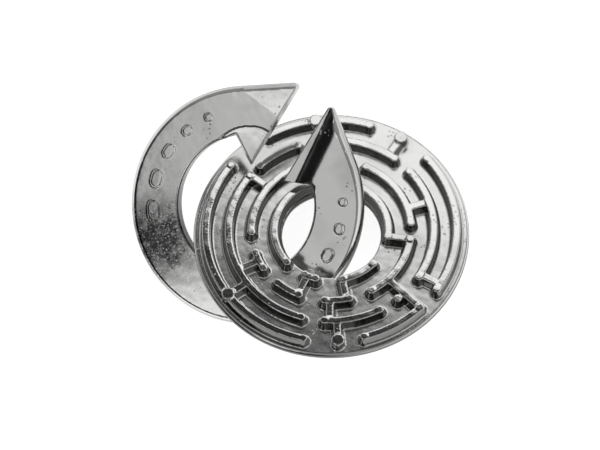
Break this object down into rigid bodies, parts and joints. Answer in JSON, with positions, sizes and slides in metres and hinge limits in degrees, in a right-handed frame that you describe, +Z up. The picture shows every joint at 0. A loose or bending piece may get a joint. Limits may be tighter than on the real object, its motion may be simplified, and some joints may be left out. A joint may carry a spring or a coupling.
{
  "type": "ring disentanglement puzzle",
  "caption": "Take-apart metal puzzle: a flat disc with raised maze walls and a central hole, linked by a flat open ring with a slot and barbed ends.",
  "frame": {"origin": "on the table, under the middle of the outline of the linked pair at rest", "axes": "+Z up from the table, +X from the ring towards the disc, +Y towards the ring's slot"},
  "size_m": [0.058, 0.0448, 0.0164],
  "materials": {
    "disc_metal": "polished plated casting",
    "ring_metal": "polished plated casting, a little duller than the disc"
  },
  "bodies": {
    "ring": {"open_ring": "ring_metal"},
    "disc": {"maze_disc": "disc_metal"}
  },
  "joints": [
    {"name": "disc_spin", "type": "hinge", "parent": "ring", "child": "disc", "pos_m": [0.00605, 0, 0.00747], "axis": [0.0373, 0.2408, 0.9699], "continuous": true}
  ]
}
